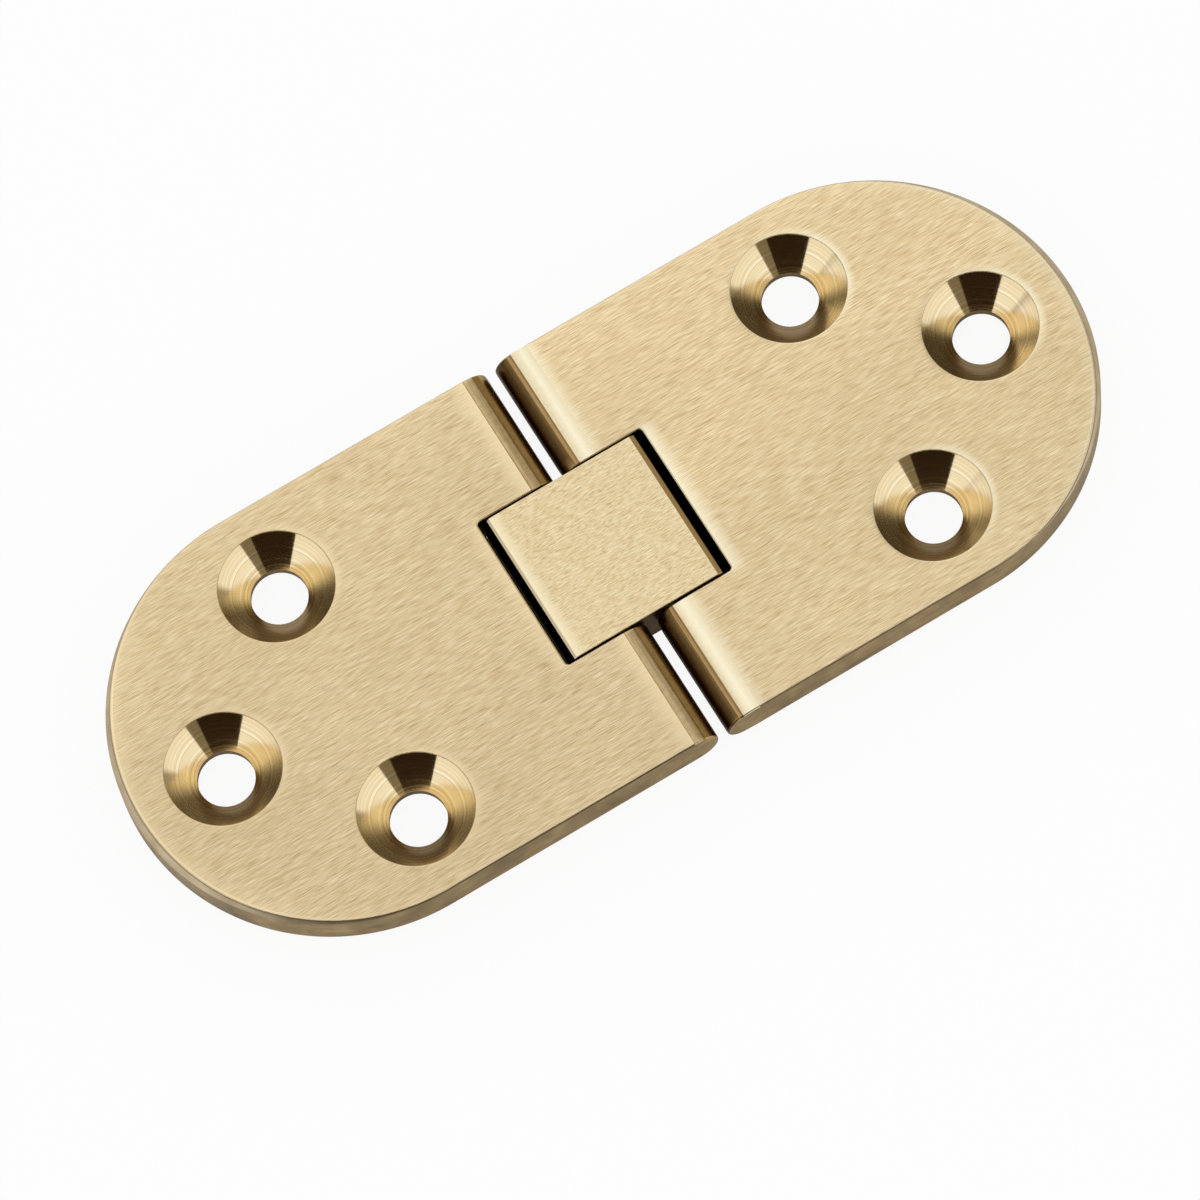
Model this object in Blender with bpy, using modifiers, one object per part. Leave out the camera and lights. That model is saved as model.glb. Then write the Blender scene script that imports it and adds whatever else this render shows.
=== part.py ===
"""Round-ended back flap hinge with two pivots, 76 x 32 mm, in solid brass.

The hinge lies open and flat. +X runs along it, +Y across it and +Z out of the face that shows.
The origin is under its centre, on the surface that it rests on. Each half of the fold is 90
degrees: the link turns about the left pin, and the right leaf turns about the right pin, so the
two faces end up against each other.
"""

import math

import bmesh
import bpy

# Overall form of the two leaves
OVERALL_LENGTH = 0.0760
LEAF_WIDTH = 0.0320
LEAF_THICKNESS = 0.0032
EDGE_BREAK = 0.00015

# Noses, the round inner ends that turn about the pins. A flat land leads from each face onto the round.
NOSE_GAP = 0.0007
NOSE_LAND_WIDTH = 0.00075
NOSE_LAND_START = 0.0002  # how far behind the pin axis the face ends

# Screw holes, three in each leaf
SCREW_HOLE_DIAMETER = 0.0041
COUNTERSINK_DIAMETER = 0.0083
COUNTERSINK_ANGLE = math.radians(90)
OUTER_SCREW_FROM_END = 0.0071
INNER_SCREW_FROM_OUTER = 0.0099
INNER_SCREW_FROM_SIDE = 0.0063
SCREW_HOLE_DEBURR = 0.0003  # where each hole comes out at the back

# Link, the block between the pins, and the slots that it lies in
LINK_LENGTH = 0.01252
LINK_WIDTH = 0.0122
LINK_BELOW_LEAVES = 0.0010
LINK_SIDE_CLEARANCE = 0.00015
LINK_END_CLEARANCE = 0.00047
LINK_EDGE_BREAK = 0.00012
LINK_END_CHAMFER = 0.00024
LINK_FOOT_BREAK = 0.0002
SLOT_END_LEAN = 0.0003  # each slot is this much shorter at the underside of its leaf

# Pins
PIN_DIAMETER = 0.0016
PIN_CHAMFER = 0.00015
PIN_SEAT_CLEARANCE = 0.00005  # radial, in the leaf that holds the pin
PIN_RUNNING_CLEARANCE = 0.0001  # radial, in the link that turns on it
PIN_BORE_END_WALL = 0.0020  # brass left between a bore's blind end and the leaf's side
PIN_END_CLEARANCE = 0.0002

# Fineness of the round forms
END_ARC_STEPS = 72
NOSE_ARC_STEPS = 24
LINK_ARC_STEPS = 10
HOLE_STEPS = 64
PIN_STEPS = 48
SMOOTH_ANGLE = math.radians(20)
MERGE_DISTANCE = 1e-7
CUT_MARGIN = 0.0010  # how far a cutter reaches past what it cuts

# What follows from them
HALF_LENGTH = OVERALL_LENGTH / 2
HALF_WIDTH = LEAF_WIDTH / 2
HALF_THICKNESS = LEAF_THICKNESS / 2
NOSE_RADIUS = HALF_THICKNESS
PIN_X = NOSE_GAP / 2 + NOSE_RADIUS
PIN_Z = LINK_BELOW_LEAVES + HALF_THICKNESS
LINK_END_RADIUS = LINK_LENGTH / 2 - PIN_X
SLOT_END_X = LINK_LENGTH / 2 + LINK_END_CLEARANCE
SLOT_WIDTH = LINK_WIDTH + 2 * LINK_SIDE_CLEARANCE
OUTER_SCREW_X = HALF_LENGTH - OUTER_SCREW_FROM_END
INNER_SCREW_X = OUTER_SCREW_X - INNER_SCREW_FROM_OUTER
INNER_SCREW_Y = HALF_WIDTH - INNER_SCREW_FROM_SIDE
PIN_LENGTH = LEAF_WIDTH - PIN_BORE_END_WALL - PIN_END_CLEARANCE

# An outline is drawn in its own XY plane: this stands it up, with its Y along Z and its depth along Y
ON_EDGE = (math.radians(90), 0, 0)
# A turned profile has its axis on Z: this lays it along +Y
ALONG_Y = (math.radians(-90), 0, 0)


def clear_scene():
    for obj in list(bpy.data.objects):
        bpy.data.objects.remove(obj, do_unlink=True)


def new_collection(name):
    collection = bpy.data.collections.new(name)
    bpy.context.scene.collection.children.link(collection)
    return collection


def metal(name, colour, roughness):
    material = bpy.data.materials.new(name)
    material.use_nodes = True
    shader = material.node_tree.nodes["Principled BSDF"]
    shader.inputs["Base Color"].default_value = (*colour, 1)
    shader.inputs["Metallic"].default_value = 1
    shader.inputs["Roughness"].default_value = roughness
    material.diffuse_color = (*colour, 1)
    return material


def place(obj, parent=None, location=(0, 0, 0), rotation=(0, 0, 0)):
    obj.parent = parent
    obj.location = location
    obj.rotation_euler = rotation
    return obj


def new_empty(name, collection, parent=None, location=(0, 0, 0)):
    empty = bpy.data.objects.new(name, None)
    empty.empty_display_size = LEAF_THICKNESS
    collection.objects.link(empty)
    return place(empty, parent, location)


def as_cutter(obj):
    obj.hide_render = True
    obj.display_type = "WIRE"
    return obj


def arc(centre, radius, start, end, steps):
    """Points on an arc, from one angle to the other, both included."""
    points = []
    for i in range(steps + 1):
        angle = start + (end - start) * i / steps
        points.append((centre[0] + radius * math.cos(angle), centre[1] + radius * math.sin(angle)))
    return points


def outline_solid(name, collection, points, thickness):
    """A flat outline made solid, half its thickness to each side of its plane."""
    curve = bpy.data.curves.new(name, "CURVE")
    curve.dimensions = "2D"
    curve.fill_mode = "BOTH"
    curve.extrude = thickness / 2
    spline = curve.splines.new("POLY")
    spline.points.add(len(points) - 1)
    for point, (x, y) in zip(spline.points, points):
        point.co = (x, y, 0, 1)
    spline.use_cyclic_u = True
    drawn = bpy.data.objects.new(name, curve)
    collection.objects.link(drawn)

    graph = bpy.context.evaluated_depsgraph_get()
    mesh = bpy.data.meshes.new_from_object(drawn.evaluated_get(graph))
    bpy.data.objects.remove(drawn)
    bpy.data.curves.remove(curve)
    shape = bmesh.new()
    shape.from_mesh(mesh)
    bmesh.ops.remove_doubles(shape, verts=shape.verts, dist=MERGE_DISTANCE)
    bmesh.ops.dissolve_limit(shape, angle_limit=MERGE_DISTANCE, verts=shape.verts, edges=shape.edges)
    bmesh.ops.recalc_face_normals(shape, faces=shape.faces)
    shape.to_mesh(mesh)
    shape.free()
    solid = bpy.data.objects.new(name, mesh)
    collection.objects.link(solid)
    return solid


def turned_solid(name, collection, profile, steps):
    """A profile of (radius, height) points, given from its top on the axis to its foot, turned about Z."""
    mesh = bpy.data.meshes.new(name)
    edges = [(i, i + 1) for i in range(len(profile) - 1)]
    mesh.from_pydata([(radius, 0, height) for radius, height in profile], edges, [])
    solid = bpy.data.objects.new(name, mesh)
    collection.objects.link(solid)
    screw = solid.modifiers.new("turn", "SCREW")
    screw.axis = "Z"
    screw.steps = steps
    screw.render_steps = steps
    screw.use_merge_vertices = True
    screw.merge_threshold = MERGE_DISTANCE
    return solid


def bar(name, collection, radius, length, steps):
    """A plain round bar along Z, centred on its origin."""
    mesh = bpy.data.meshes.new(name)
    shape = bmesh.new()
    bmesh.ops.create_cone(
        shape, cap_ends=True, segments=steps, radius1=radius, radius2=radius, depth=length
    )
    shape.to_mesh(mesh)
    shape.free()
    solid = bpy.data.objects.new(name, mesh)
    collection.objects.link(solid)
    return solid


def break_edges(obj, width, segments=2):
    bevel = obj.modifiers.new("edge break", "BEVEL")
    bevel.width = width
    bevel.segments = segments
    bevel.limit_method = "ANGLE"
    bevel.angle_limit = math.radians(40)


def boolean(obj, operation, other):
    modifier = obj.modifiers.new(other.name, "BOOLEAN")
    modifier.operation = operation
    modifier.solver = "EXACT"
    modifier.object = other


def finish(obj, material):
    obj.data.materials.clear()
    obj.data.materials.append(material)
    obj.data.shade_smooth()
    obj.data.set_sharp_from_angle(angle=SMOOTH_ANGLE)


def countersink_profile():
    """Cone, clearance hole and deburred back of one screw, with the leaf's face at height 0."""
    hole = SCREW_HOLE_DIAMETER / 2
    rim = COUNTERSINK_DIAMETER / 2
    slope = math.tan(COUNTERSINK_ANGLE / 2)
    foot = -LEAF_THICKNESS - CUT_MARGIN
    return [
        (0, CUT_MARGIN),
        (rim + CUT_MARGIN * slope, CUT_MARGIN),
        (hole, -(rim - hole) / slope),
        (hole, -LEAF_THICKNESS + SCREW_HOLE_DEBURR),
        (hole + SCREW_HOLE_DEBURR + CUT_MARGIN, foot),
        (0, foot),
    ]


def screw_places():
    """The screws of a leaf, from its pin axis: the outer one, then the inner pair."""
    return [
        (OUTER_SCREW_X - PIN_X, 0),
        (INNER_SCREW_X - PIN_X, INNER_SCREW_Y),
        (INNER_SCREW_X - PIN_X, -INNER_SCREW_Y),
    ]


def make_leaf(name, parent, location, turn, bore_mouth, parts, cutters, material):
    """One leaf about its pin axis. The pin goes in from the leaf's own +Y side if bore_mouth is 1."""
    end = HALF_LENGTH - PIN_X
    square_end = -NOSE_RADIUS - CUT_MARGIN
    outline = [(square_end, HALF_WIDTH), (square_end, -HALF_WIDTH)]
    outline += arc((end - HALF_WIDTH, 0), HALF_WIDTH, -math.pi / 2, math.pi / 2, END_ARC_STEPS)
    leaf = place(outline_solid(name, parts, outline, LEAF_THICKNESS), parent, location, (0, 0, turn))
    break_edges(leaf, EDGE_BREAK)

    # The nose: all that lies inside this side view stays. Each land's line runs on past the face.
    clear = HALF_THICKNESS + CUT_MARGIN
    round_start = math.asin((NOSE_LAND_WIDTH - NOSE_LAND_START) / NOSE_RADIUS)
    land_slope = NOSE_RADIUS * (1 - math.cos(round_start)) / NOSE_LAND_WIDTH
    past_face = NOSE_LAND_START + CUT_MARGIN
    land_level = HALF_THICKNESS + CUT_MARGIN * land_slope
    from_angle, to_angle = math.pi / 2 + round_start, 3 * math.pi / 2 - round_start
    side_view = arc((0, 0), NOSE_RADIUS, from_angle, to_angle, NOSE_ARC_STEPS)
    side_view += [(past_face, -land_level), (past_face, -clear), (end + CUT_MARGIN, -clear)]
    side_view += [(end + CUT_MARGIN, clear), (past_face, clear), (past_face, land_level)]
    former = outline_solid(name + "_nose_former", cutters, side_view, LEAF_WIDTH + 2 * CUT_MARGIN)
    boolean(leaf, "INTERSECT", as_cutter(place(former, leaf, rotation=ON_EDGE)))

    # The slot, whose end leans in towards the underside
    slot_end = SLOT_END_X - PIN_X
    lean = SLOT_END_LEAN / LEAF_THICKNESS
    slot_view = [
        (square_end, clear),
        (square_end, -clear),
        (slot_end - lean * (HALF_THICKNESS + clear), -clear),
        (slot_end + lean * CUT_MARGIN, clear),
    ]
    slot = outline_solid(name + "_slot", cutters, slot_view, SLOT_WIDTH)
    boolean(leaf, "DIFFERENCE", as_cutter(place(slot, leaf, rotation=ON_EDGE)))

    for number, (x, y) in enumerate(screw_places(), start=1):
        hole = turned_solid(f"{name}_screw_hole_{number}", cutters, countersink_profile(), HOLE_STEPS)
        boolean(leaf, "DIFFERENCE", as_cutter(place(hole, leaf, (x, y, HALF_THICKNESS))))

    bore_length = LEAF_WIDTH - PIN_BORE_END_WALL + CUT_MARGIN
    bore_centre = bore_mouth * (HALF_WIDTH + CUT_MARGIN - bore_length / 2)
    bore_radius = PIN_DIAMETER / 2 + PIN_SEAT_CLEARANCE
    bore = bar(name + "_pin_bore", cutters, bore_radius, bore_length, PIN_STEPS)
    boolean(leaf, "DIFFERENCE", as_cutter(place(bore, leaf, (0, bore_centre, 0), ALONG_Y)))

    finish(leaf, material)
    return leaf


def make_link(name, parent, parts, cutters, material):
    """The link about the left pin axis. Each end is round about its own pin, so that it clears the slot."""
    foot = -HALF_THICKNESS - LINK_BELOW_LEAVES
    chamfer_angle = math.asin((HALF_THICKNESS - LINK_END_CHAMFER) / LINK_END_RADIUS)
    face_end = LINK_END_RADIUS * math.cos(chamfer_angle) - LINK_END_CHAMFER
    right_pin = 2 * PIN_X
    side_view = arc((right_pin, 0), LINK_END_RADIUS, 0, chamfer_angle, LINK_ARC_STEPS)
    side_view += [(right_pin + face_end, HALF_THICKNESS), (-face_end, HALF_THICKNESS)]
    side_view += arc((0, 0), LINK_END_RADIUS, math.pi - chamfer_angle, math.pi, LINK_ARC_STEPS)
    side_view += [
        (-LINK_END_RADIUS, foot + LINK_FOOT_BREAK),
        (-LINK_END_RADIUS + LINK_FOOT_BREAK, foot),
        (right_pin + LINK_END_RADIUS - LINK_FOOT_BREAK, foot),
        (right_pin + LINK_END_RADIUS, foot + LINK_FOOT_BREAK),
    ]
    link = place(outline_solid(name, parts, side_view, LINK_WIDTH), parent, rotation=ON_EDGE)
    break_edges(link, LINK_EDGE_BREAK)
    bore_radius = PIN_DIAMETER / 2 + PIN_RUNNING_CLEARANCE
    for side, x in (("left", 0), ("right", right_pin)):
        bore = bar(f"{name}_{side}_bore", cutters, bore_radius, LINK_WIDTH + 2 * CUT_MARGIN, PIN_STEPS)
        boolean(link, "DIFFERENCE", as_cutter(place(bore, link, (x, 0, 0))))
    finish(link, material)
    return link


def make_pin(name, parent, location, parts, material):
    """A plain pin, flush with the far side of its leaf and stopping inside the near one."""
    radius = PIN_DIAMETER / 2
    far_end = HALF_WIDTH
    near_end = HALF_WIDTH - PIN_LENGTH
    profile = [
        (0, far_end),
        (radius - PIN_CHAMFER, far_end),
        (radius, far_end - PIN_CHAMFER),
        (radius, near_end + PIN_CHAMFER),
        (radius - PIN_CHAMFER, near_end),
        (0, near_end),
    ]
    pin = place(turned_solid(name, parts, profile, PIN_STEPS), parent, location, ALONG_Y)
    finish(pin, material)
    return pin


def main():
    clear_scene()
    parts = new_collection("back_flap_hinge")
    cutters = new_collection("cutters")
    brass = metal("satin brass", (0.68, 0.52, 0.32), 0.34)
    worn_brass = metal("link brass", (0.74, 0.58, 0.35), 0.38)
    steel = metal("pin steel", (0.55, 0.54, 0.52), 0.30)

    # Turning left_pivot about -Y folds the link and all beyond it, and right_pivot folds the right leaf
    left_pin_axis = (-PIN_X, 0, PIN_Z)
    frame = new_empty("hinge_frame", parts)
    left_pivot = new_empty("left_pivot", parts, frame, left_pin_axis)
    right_pivot = new_empty("right_pivot", parts, left_pivot, (2 * PIN_X, 0, 0))

    make_leaf("leaf_left", frame, left_pin_axis, math.pi, -1, parts, cutters, brass)
    make_pin("pin_left", frame, left_pin_axis, parts, steel)
    make_link("link", left_pivot, parts, cutters, worn_brass)
    make_leaf("leaf_right", right_pivot, (0, 0, 0), 0, 1, parts, cutters, brass)
    make_pin("pin_right", right_pivot, (0, 0, 0), parts, steel)


main()
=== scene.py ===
import math

import bmesh
import bpy
from mathutils import Matrix, Vector
from mathutils.geometry import tessellate_polygon


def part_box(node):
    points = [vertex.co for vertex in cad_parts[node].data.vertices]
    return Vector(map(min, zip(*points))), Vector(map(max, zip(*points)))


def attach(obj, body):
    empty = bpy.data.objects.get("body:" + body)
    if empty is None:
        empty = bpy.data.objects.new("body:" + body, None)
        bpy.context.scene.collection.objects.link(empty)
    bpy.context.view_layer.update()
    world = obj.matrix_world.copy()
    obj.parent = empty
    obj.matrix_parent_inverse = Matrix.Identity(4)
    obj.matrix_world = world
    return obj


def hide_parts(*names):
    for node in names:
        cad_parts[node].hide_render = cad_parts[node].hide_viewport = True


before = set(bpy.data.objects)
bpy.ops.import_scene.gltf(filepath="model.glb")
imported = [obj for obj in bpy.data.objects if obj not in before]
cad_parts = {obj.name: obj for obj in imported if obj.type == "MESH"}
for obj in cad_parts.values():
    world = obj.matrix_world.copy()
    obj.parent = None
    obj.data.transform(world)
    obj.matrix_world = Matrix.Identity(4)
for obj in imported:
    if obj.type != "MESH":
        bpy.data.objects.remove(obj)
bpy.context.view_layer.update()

# Form of the leaves, in metres, as in the CAD
leaf_low, leaf_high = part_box("leaf_right")
HALF_LENGTH = leaf_high[0]
HALF_WIDTH = leaf_high[1]
LEAF_TOP = leaf_high[2]
LEAF_UNDERSIDE = leaf_low[2]
HALF_THICKNESS = (LEAF_TOP - LEAF_UNDERSIDE) / 2
END_CENTRE_X = HALF_LENGTH - HALF_WIDTH
PIN_Z = (LEAF_TOP + LEAF_UNDERSIDE) / 2
NOSE_RADIUS = HALF_THICKNESS
NOSE_END_X = 0.00035
PIN_X = NOSE_END_X + NOSE_RADIUS
LAND_WIDTH = 0.00075
LAND_BEHIND_PIN = 0.0002
LAND_START_X = PIN_X + LAND_BEHIND_PIN
OUTER_SCREW_X = 0.0309
INNER_SCREW_X = 0.0210
INNER_SCREW_Y = 0.0097
SCREWS = ((OUTER_SCREW_X, 0), (INNER_SCREW_X, INNER_SCREW_Y), (INNER_SCREW_X, -INNER_SCREW_Y))
RIM_RADIUS = 0.00415
HOLE_RADIUS = 0.00205
HOLE_DEBURR = 0.0003
SLOT_END_X = 0.00673
SLOT_END_LEAN = 0.00046  # a slot is this much shorter at the underside, a little more than in the CAD
HALF_SLOT = 0.00625
BORE_RADIUS = 0.00085
BORE_END_WALL = 0.0020

# Form of the link and the pins, as in the CAD but for the width and depth of the link's chamfer
HALF_LINK_LENGTH = 0.00626
HALF_LINK_WIDTH = 0.0061
LINK_END_RADIUS = HALF_LINK_LENGTH - PIN_X
LINK_FOOT_BREAK = 0.0002
LINK_CHAMFER_DEPTH = 0.00018
LINK_CHAMFER_WIDTH = 0.00036
LINK_BORE_RADIUS = 0.0009
PIN_RADIUS = 0.0008
PIN_NEAR_END = -0.0138
PIN_CHAMFER = 0.00015

# What the CAD leaves out. Dressed edges are a tight round, with the last of the face sanded down a little
SLOT_CORNER = 0.00028  # radius of the fillets in the corners of a slot
BORE_CHAMFER = 0.00006
PIN_SHOULDER = {"in": PIN_CHAMFER / 3, "down": PIN_CHAMFER / 4}  # a pin's far end is dressed rounder
EDGE_ROUND = 0.00013
OUTER_EDGE = {"width": 0.00040, "drop": 0.000010}
END_BEVEL = {"width": 0.00040, "depth": 0.00042}  # round each end, and nothing along the sides
CRISP_SLOT_EDGE = {"width": 0.00030, "drop": 0.000006}
WORN_SLOT_EDGE = {"width": 0.00100, "drop": 0.000072, "power": 1.4}
RIM_EDGE = {"width": 0.00060, "drop": 0.000026, "power": 1.6}
LINK_EDGE_ROUND = 0.00006
WORN_ROLL = 0.00095  # how far back the right leaf's face starts to roll down to its nose
LAND_BULGE = 0.045  # how far a land's slope goes either way of its mean, from the face to the round
LINK_WORN_END = {"width": 0.00085, "drop": 0.000045}
LINK_CHAMFER_ANGLE = math.asin((HALF_THICKNESS - LINK_CHAMFER_DEPTH) / LINK_END_RADIUS)
LINK_FACE_END_X = PIN_X + LINK_END_RADIUS * math.cos(LINK_CHAMFER_ANGLE) - LINK_CHAMFER_WIDTH
GROOVE = 0.000022  # depth, and half the width, of the line that ends a land
GUARD = 0.00003  # a narrow flat band beside each round, which keeps the flat's shading flat

# Fineness of the round forms
END_STEPS = 160
NOSE_STEPS = 28
ROLL_STEPS = 10
LAND_STEPS = 6
CORNER_STEPS = 6
ROUND_STEPS = 5
SANDED_STEPS = 4
SCREW_STEPS = 144
BORE_STEPS = 64
CONE_ROWS = 36
LINK_END_STEPS = 14
REAL_CORNER = math.radians(20)
SHARP_ANGLE = math.radians(28)
WELD = 1e-7

# Tones of each surface as a screen shows them, from where its marks are faint to where they are strong
FACE_TONES = ((206, 179, 132), (230, 206, 161), (245, 227, 188))
NOSE_TONES = ((190, 162, 114), (220, 196, 152), (238, 218, 180))
TURNED_TONES = ((198, 168, 116), (242, 221, 177), (255, 245, 213))
# The walls are darker than the face: a duller ground surface, with painted shade on top of that
WALL_TONES_WITH_SHADE = ((116, 94, 52), (156, 130, 80), (194, 167, 112))
BEVEL_TONES = ((172, 152, 120), (198, 179, 147), (220, 203, 172))
UNDERSIDE_TONES = ((206, 179, 132), (224, 199, 153), (237, 215, 172))
# Near black: painted shade in the slot, the bores and the gaps at the link's ends
SLOT_SHADE_TONES = ((44, 34, 20), (66, 52, 32), (92, 74, 48))
HOLE_TONES = ((108, 86, 54), (134, 110, 74), (160, 136, 96))
LINK_TONES = ((208, 180, 127), (239, 217, 171), (253, 240, 205))
LINK_WALL_TONES = ((104, 82, 50), (138, 112, 74), (170, 142, 98))
STEEL_TONES = ((150, 148, 144), (196, 194, 190))

# What lies over the tones: the levels of its noise that it starts and is full at, how much, and its colour
FACE_CLOUD = {"low": 0.35, "high": 0.7, "share": 0.14, "colour": (212, 187, 143)}
FACE_HAIRS = {"low": 0.60, "high": 0.68, "share": 0.45, "colour": (150, 122, 78)}
LINK_SPECKS = {"low": 0.62, "high": 0.69, "share": 0.55, "colour": (160, 130, 82)}
# Painted shade on the round of a leaf's outer edge
OUTER_EDGE_DARK = (84, 66, 38)
# Painted shade on the chamfer at the link's crisp end
LINK_CHAMFER_SHADE = (206, 172, 118)

# Marks per metre of the ground surfaces. Few marks along an axis draw them out along it
UPRIGHT_MARKS = (2600, 2600, 500)
LEVEL_MARKS = (350, 350, 5000)
UNDERSIDE_MARKS = (300, 5200, 300)

# Tarnish and painted shade over each nose, from above its pin (0) to its end (1), as a colour that dulls
# the brass
# its dark lines and light bands along the nose are painted shade and painted highlight
LEFT_TARNISH_AND_SHADE = (
    (0.00, (244, 242, 236)),
    (0.30, (226, 222, 212)),
    (0.345, (190, 174, 146)),
    (0.42, (226, 212, 184)),
    (0.66, (232, 214, 182)),
    (0.84, (190, 172, 142)),
)
RIGHT_TARNISH_AND_SHADE = (
    (0.09, (255, 255, 255)),
    (0.13, (150, 130, 100)),
    (0.16, (150, 130, 100)),
    (0.20, (182, 166, 140)),
    (0.36, (210, 192, 162)),
    (0.53, (156, 142, 118)),
    (0.66, (104, 92, 72)),
    (0.82, (104, 92, 72)),
)

# Each leaf's painted light and tarnish: how light its face is painted, how tarnished and shaded its nose,
# and its painted highlights, strongest at nose_x beside the nose; nose, land, slot and border say how
# strong.
LEFT_TARNISH_AND_LIGHT = {
    "tone": 0.97,
    "tarnish_and_shade": LEFT_TARNISH_AND_SHADE,
    "highlight_colour": (250, 228, 184),
    "nose_x": LAND_START_X,
    "nose": 0.9,
    "land": 0.0,
    "slot": 0.7,
    "border": 1.0,
}
RIGHT_TARNISH_AND_LIGHT = {
    "tone": 1.06,
    "tarnish_and_shade": RIGHT_TARNISH_AND_SHADE,
    "highlight_colour": (255, 246, 214),
    "nose_x": 0.0025,
    "nose": 0.95,
    "land": 0.95,
    "slot": 0.9,
    "border": 0.45,
}
TONE_ACROSS = 0.05  # painted shade and light: a face is this much darker at the near side, and this much lighter at the far side

# The painted highlight beside each edge of a leaf's face: how far in it reaches, and how bright it gets
NOSE_HIGHLIGHT_WIDTH = 0.0014
SLOT_HIGHLIGHT_WIDTH = 0.0012
SLOT_CORNER_FADE = 2.0  # past a slot's corners it fades this many times faster
RIM_HIGHLIGHT_WIDTH = 0.0006
RIM_HIGHLIGHT_SIDE = (1 / RIM_RADIUS, 0.1 / RIM_RADIUS, 0)  # the painted highlight at a rim lies on its right-hand side
RIM_HIGHLIGHT_FACING = (0.1, 1.0)
RIM_HIGHLIGHT = 0.8
RIM_LINE_WIDTH = 0.00014
RIM_LINE = 0.5
OUTER_HIGHLIGHT_WIDTH = 0.0011
OUTER_LINE_WIDTH = 0.00034
OUTER_LINE_CORE = 0.7  # the share of the line's width that has the full painted highlight
SIDE_HIGHLIGHT = 0.2  # the straight sides have this share of what the round end has
SIDE_HIGHLIGHT_TO_X = 0.026
END_HIGHLIGHT_FROM_X = 0.034
EDGE_SHADE = 0.85  # how dark the painted shade on the round of the outer edge is
EDGE_SHADE_DEPTH = 0.00003
EDGE_SHADE_FROM = 0.0003
EDGE_SHADE_FULL = 0.0002

# The link's face has a painted highlight at its worn end, and a little at its crisp one
LINK_HIGHLIGHT = (255, 240, 202)
WORN_END_HIGHLIGHT_FROM_X = -0.78 * HALF_LINK_LENGTH
WORN_END_HIGHLIGHT_FULL_X = -0.91 * HALF_LINK_LENGTH
CRISP_END_HIGHLIGHT_FROM_X = 0.85 * HALF_LINK_LENGTH
CRISP_END_HIGHLIGHT_FULL_X = 0.90 * HALF_LINK_LENGTH
CRISP_END_HIGHLIGHT = 0.3

# Roughness of each metal, at the low and the high end of its marks, and the depth of those marks
NOISE_LOW, NOISE_HIGH = 0.3, 0.7
BRUSHED = {"roughness": (0.26, 0.31), "depth": 0.000005}
MACHINED = {"roughness": (0.20, 0.28), "depth": 0.000005}
GROUND = {"roughness": (0.34, 0.46), "depth": 0.00001}
TURNED_BRIGHT = {"roughness": (0.08, 0.14), "depth": 0.000002}
GRAINED = {"roughness": (0.28, 0.36), "depth": 0.000006}
DRAWN = {"roughness": (0.22, 0.36), "depth": 0.000003}
ACROSS_STROKES = (0, 1, 0)

# Studio: the floor and the world look white, and the metal mirrors cloths that hang round it.
# A card covers azimuths and elevations in degrees, and thins out over the soft ones at its sides or top.
FLOOR_REACH = 3.0
FLOOR_COLOUR = (0.9, 0.9, 0.9, 1)
FLOOR_SEEN_WHITE = 0.92
FLOOR_MIRRORED_WHITE = 0.10
WHITE = (1, 1, 1, 1)
ROOM_LIGHT = 0.9
CARD_DISTANCE = 1.5
CARD_STEPS = 40
CARDS = {
    "dark_card": {"azimuths": (-153, -91), "elevations": (-2, 45), "colour": (0.026, 0.015, 0.008)},
    "near_card": {"azimuths": (-91, -74), "elevations": (-2, 45), "colour": (0.21, 0.18, 0.125)},
    "camera_card": {
        "azimuths": (-125, -44),
        "elevations": (45, 73),
        "colour": (0.06, 0.052, 0.045),
        "soft_top": 5,
    },
    "hand_card": {
        "azimuths": (-172, -125),
        "elevations": (45, 69),
        "colour": (0.035, 0.03, 0.026),
        "soft_top": 4,
    },
    "right_card": {
        "azimuths": (-16, 52),
        "elevations": (-4, 70),
        "colour": (0.38, 0.345, 0.27),
        "soft_sides": 8,
        "soft_top": 8,
    },
    "left_card": {
        "azimuths": (119, 171),
        "elevations": (12, 63),
        "colour": (0.28, 0.26, 0.23),
        "soft_sides": 8,
        "soft_top": 8,
    },
}

# Camera, at the photograph's angle
AIM = Vector((-0.00231, -0.00332, LEAF_TOP))
CAMERA_DISTANCE = 0.5569
CAMERA_AZIMUTH = math.radians(-109.89)
CAMERA_ELEVATION = math.radians(69.49)
CAMERA_ROLL = math.radians(-11.63)
CAMERA_LENS = 239.6
CAMERA_SENSOR = 36
CAMERA_CLIP = (0.01, 20)


# Surfaces, patch by patch


def strip(shape, rows, finish, closed=False):
    """Quads between neighbouring rows of points. A closed row joins its last point to its first."""
    made = [[shape.verts.new(point) for point in row] for row in rows]
    for here, there in zip(made, made[1:]):
        count = len(here)
        for i in range(count if closed else count - 1):
            j = (i + 1) % count
            face = shape.faces.new((here[i], here[j], there[j], there[i]))
            face.material_index = finish


def fill(shape, loops, finish):
    """A flat area inside its first loop and outside the others."""
    corners = [shape.verts.new(point) for loop in loops for point in loop]
    for triangle in tessellate_polygon(loops):
        face = shape.faces.new([corners[i] for i in triangle])
        face.material_index = finish


def circle(centre, radius, steps, plane):
    """Points round a circle. plane is XY for a screw hole or XZ for a bore."""
    points = []
    for i in range(steps):
        angle = 2 * math.pi * i / steps
        across, along = radius * math.cos(angle), radius * math.sin(angle)
        offset = (across, along, 0) if plane == "XY" else (across, 0, along)
        points.append(Vector(centre) + Vector(offset))
    return points


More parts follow.
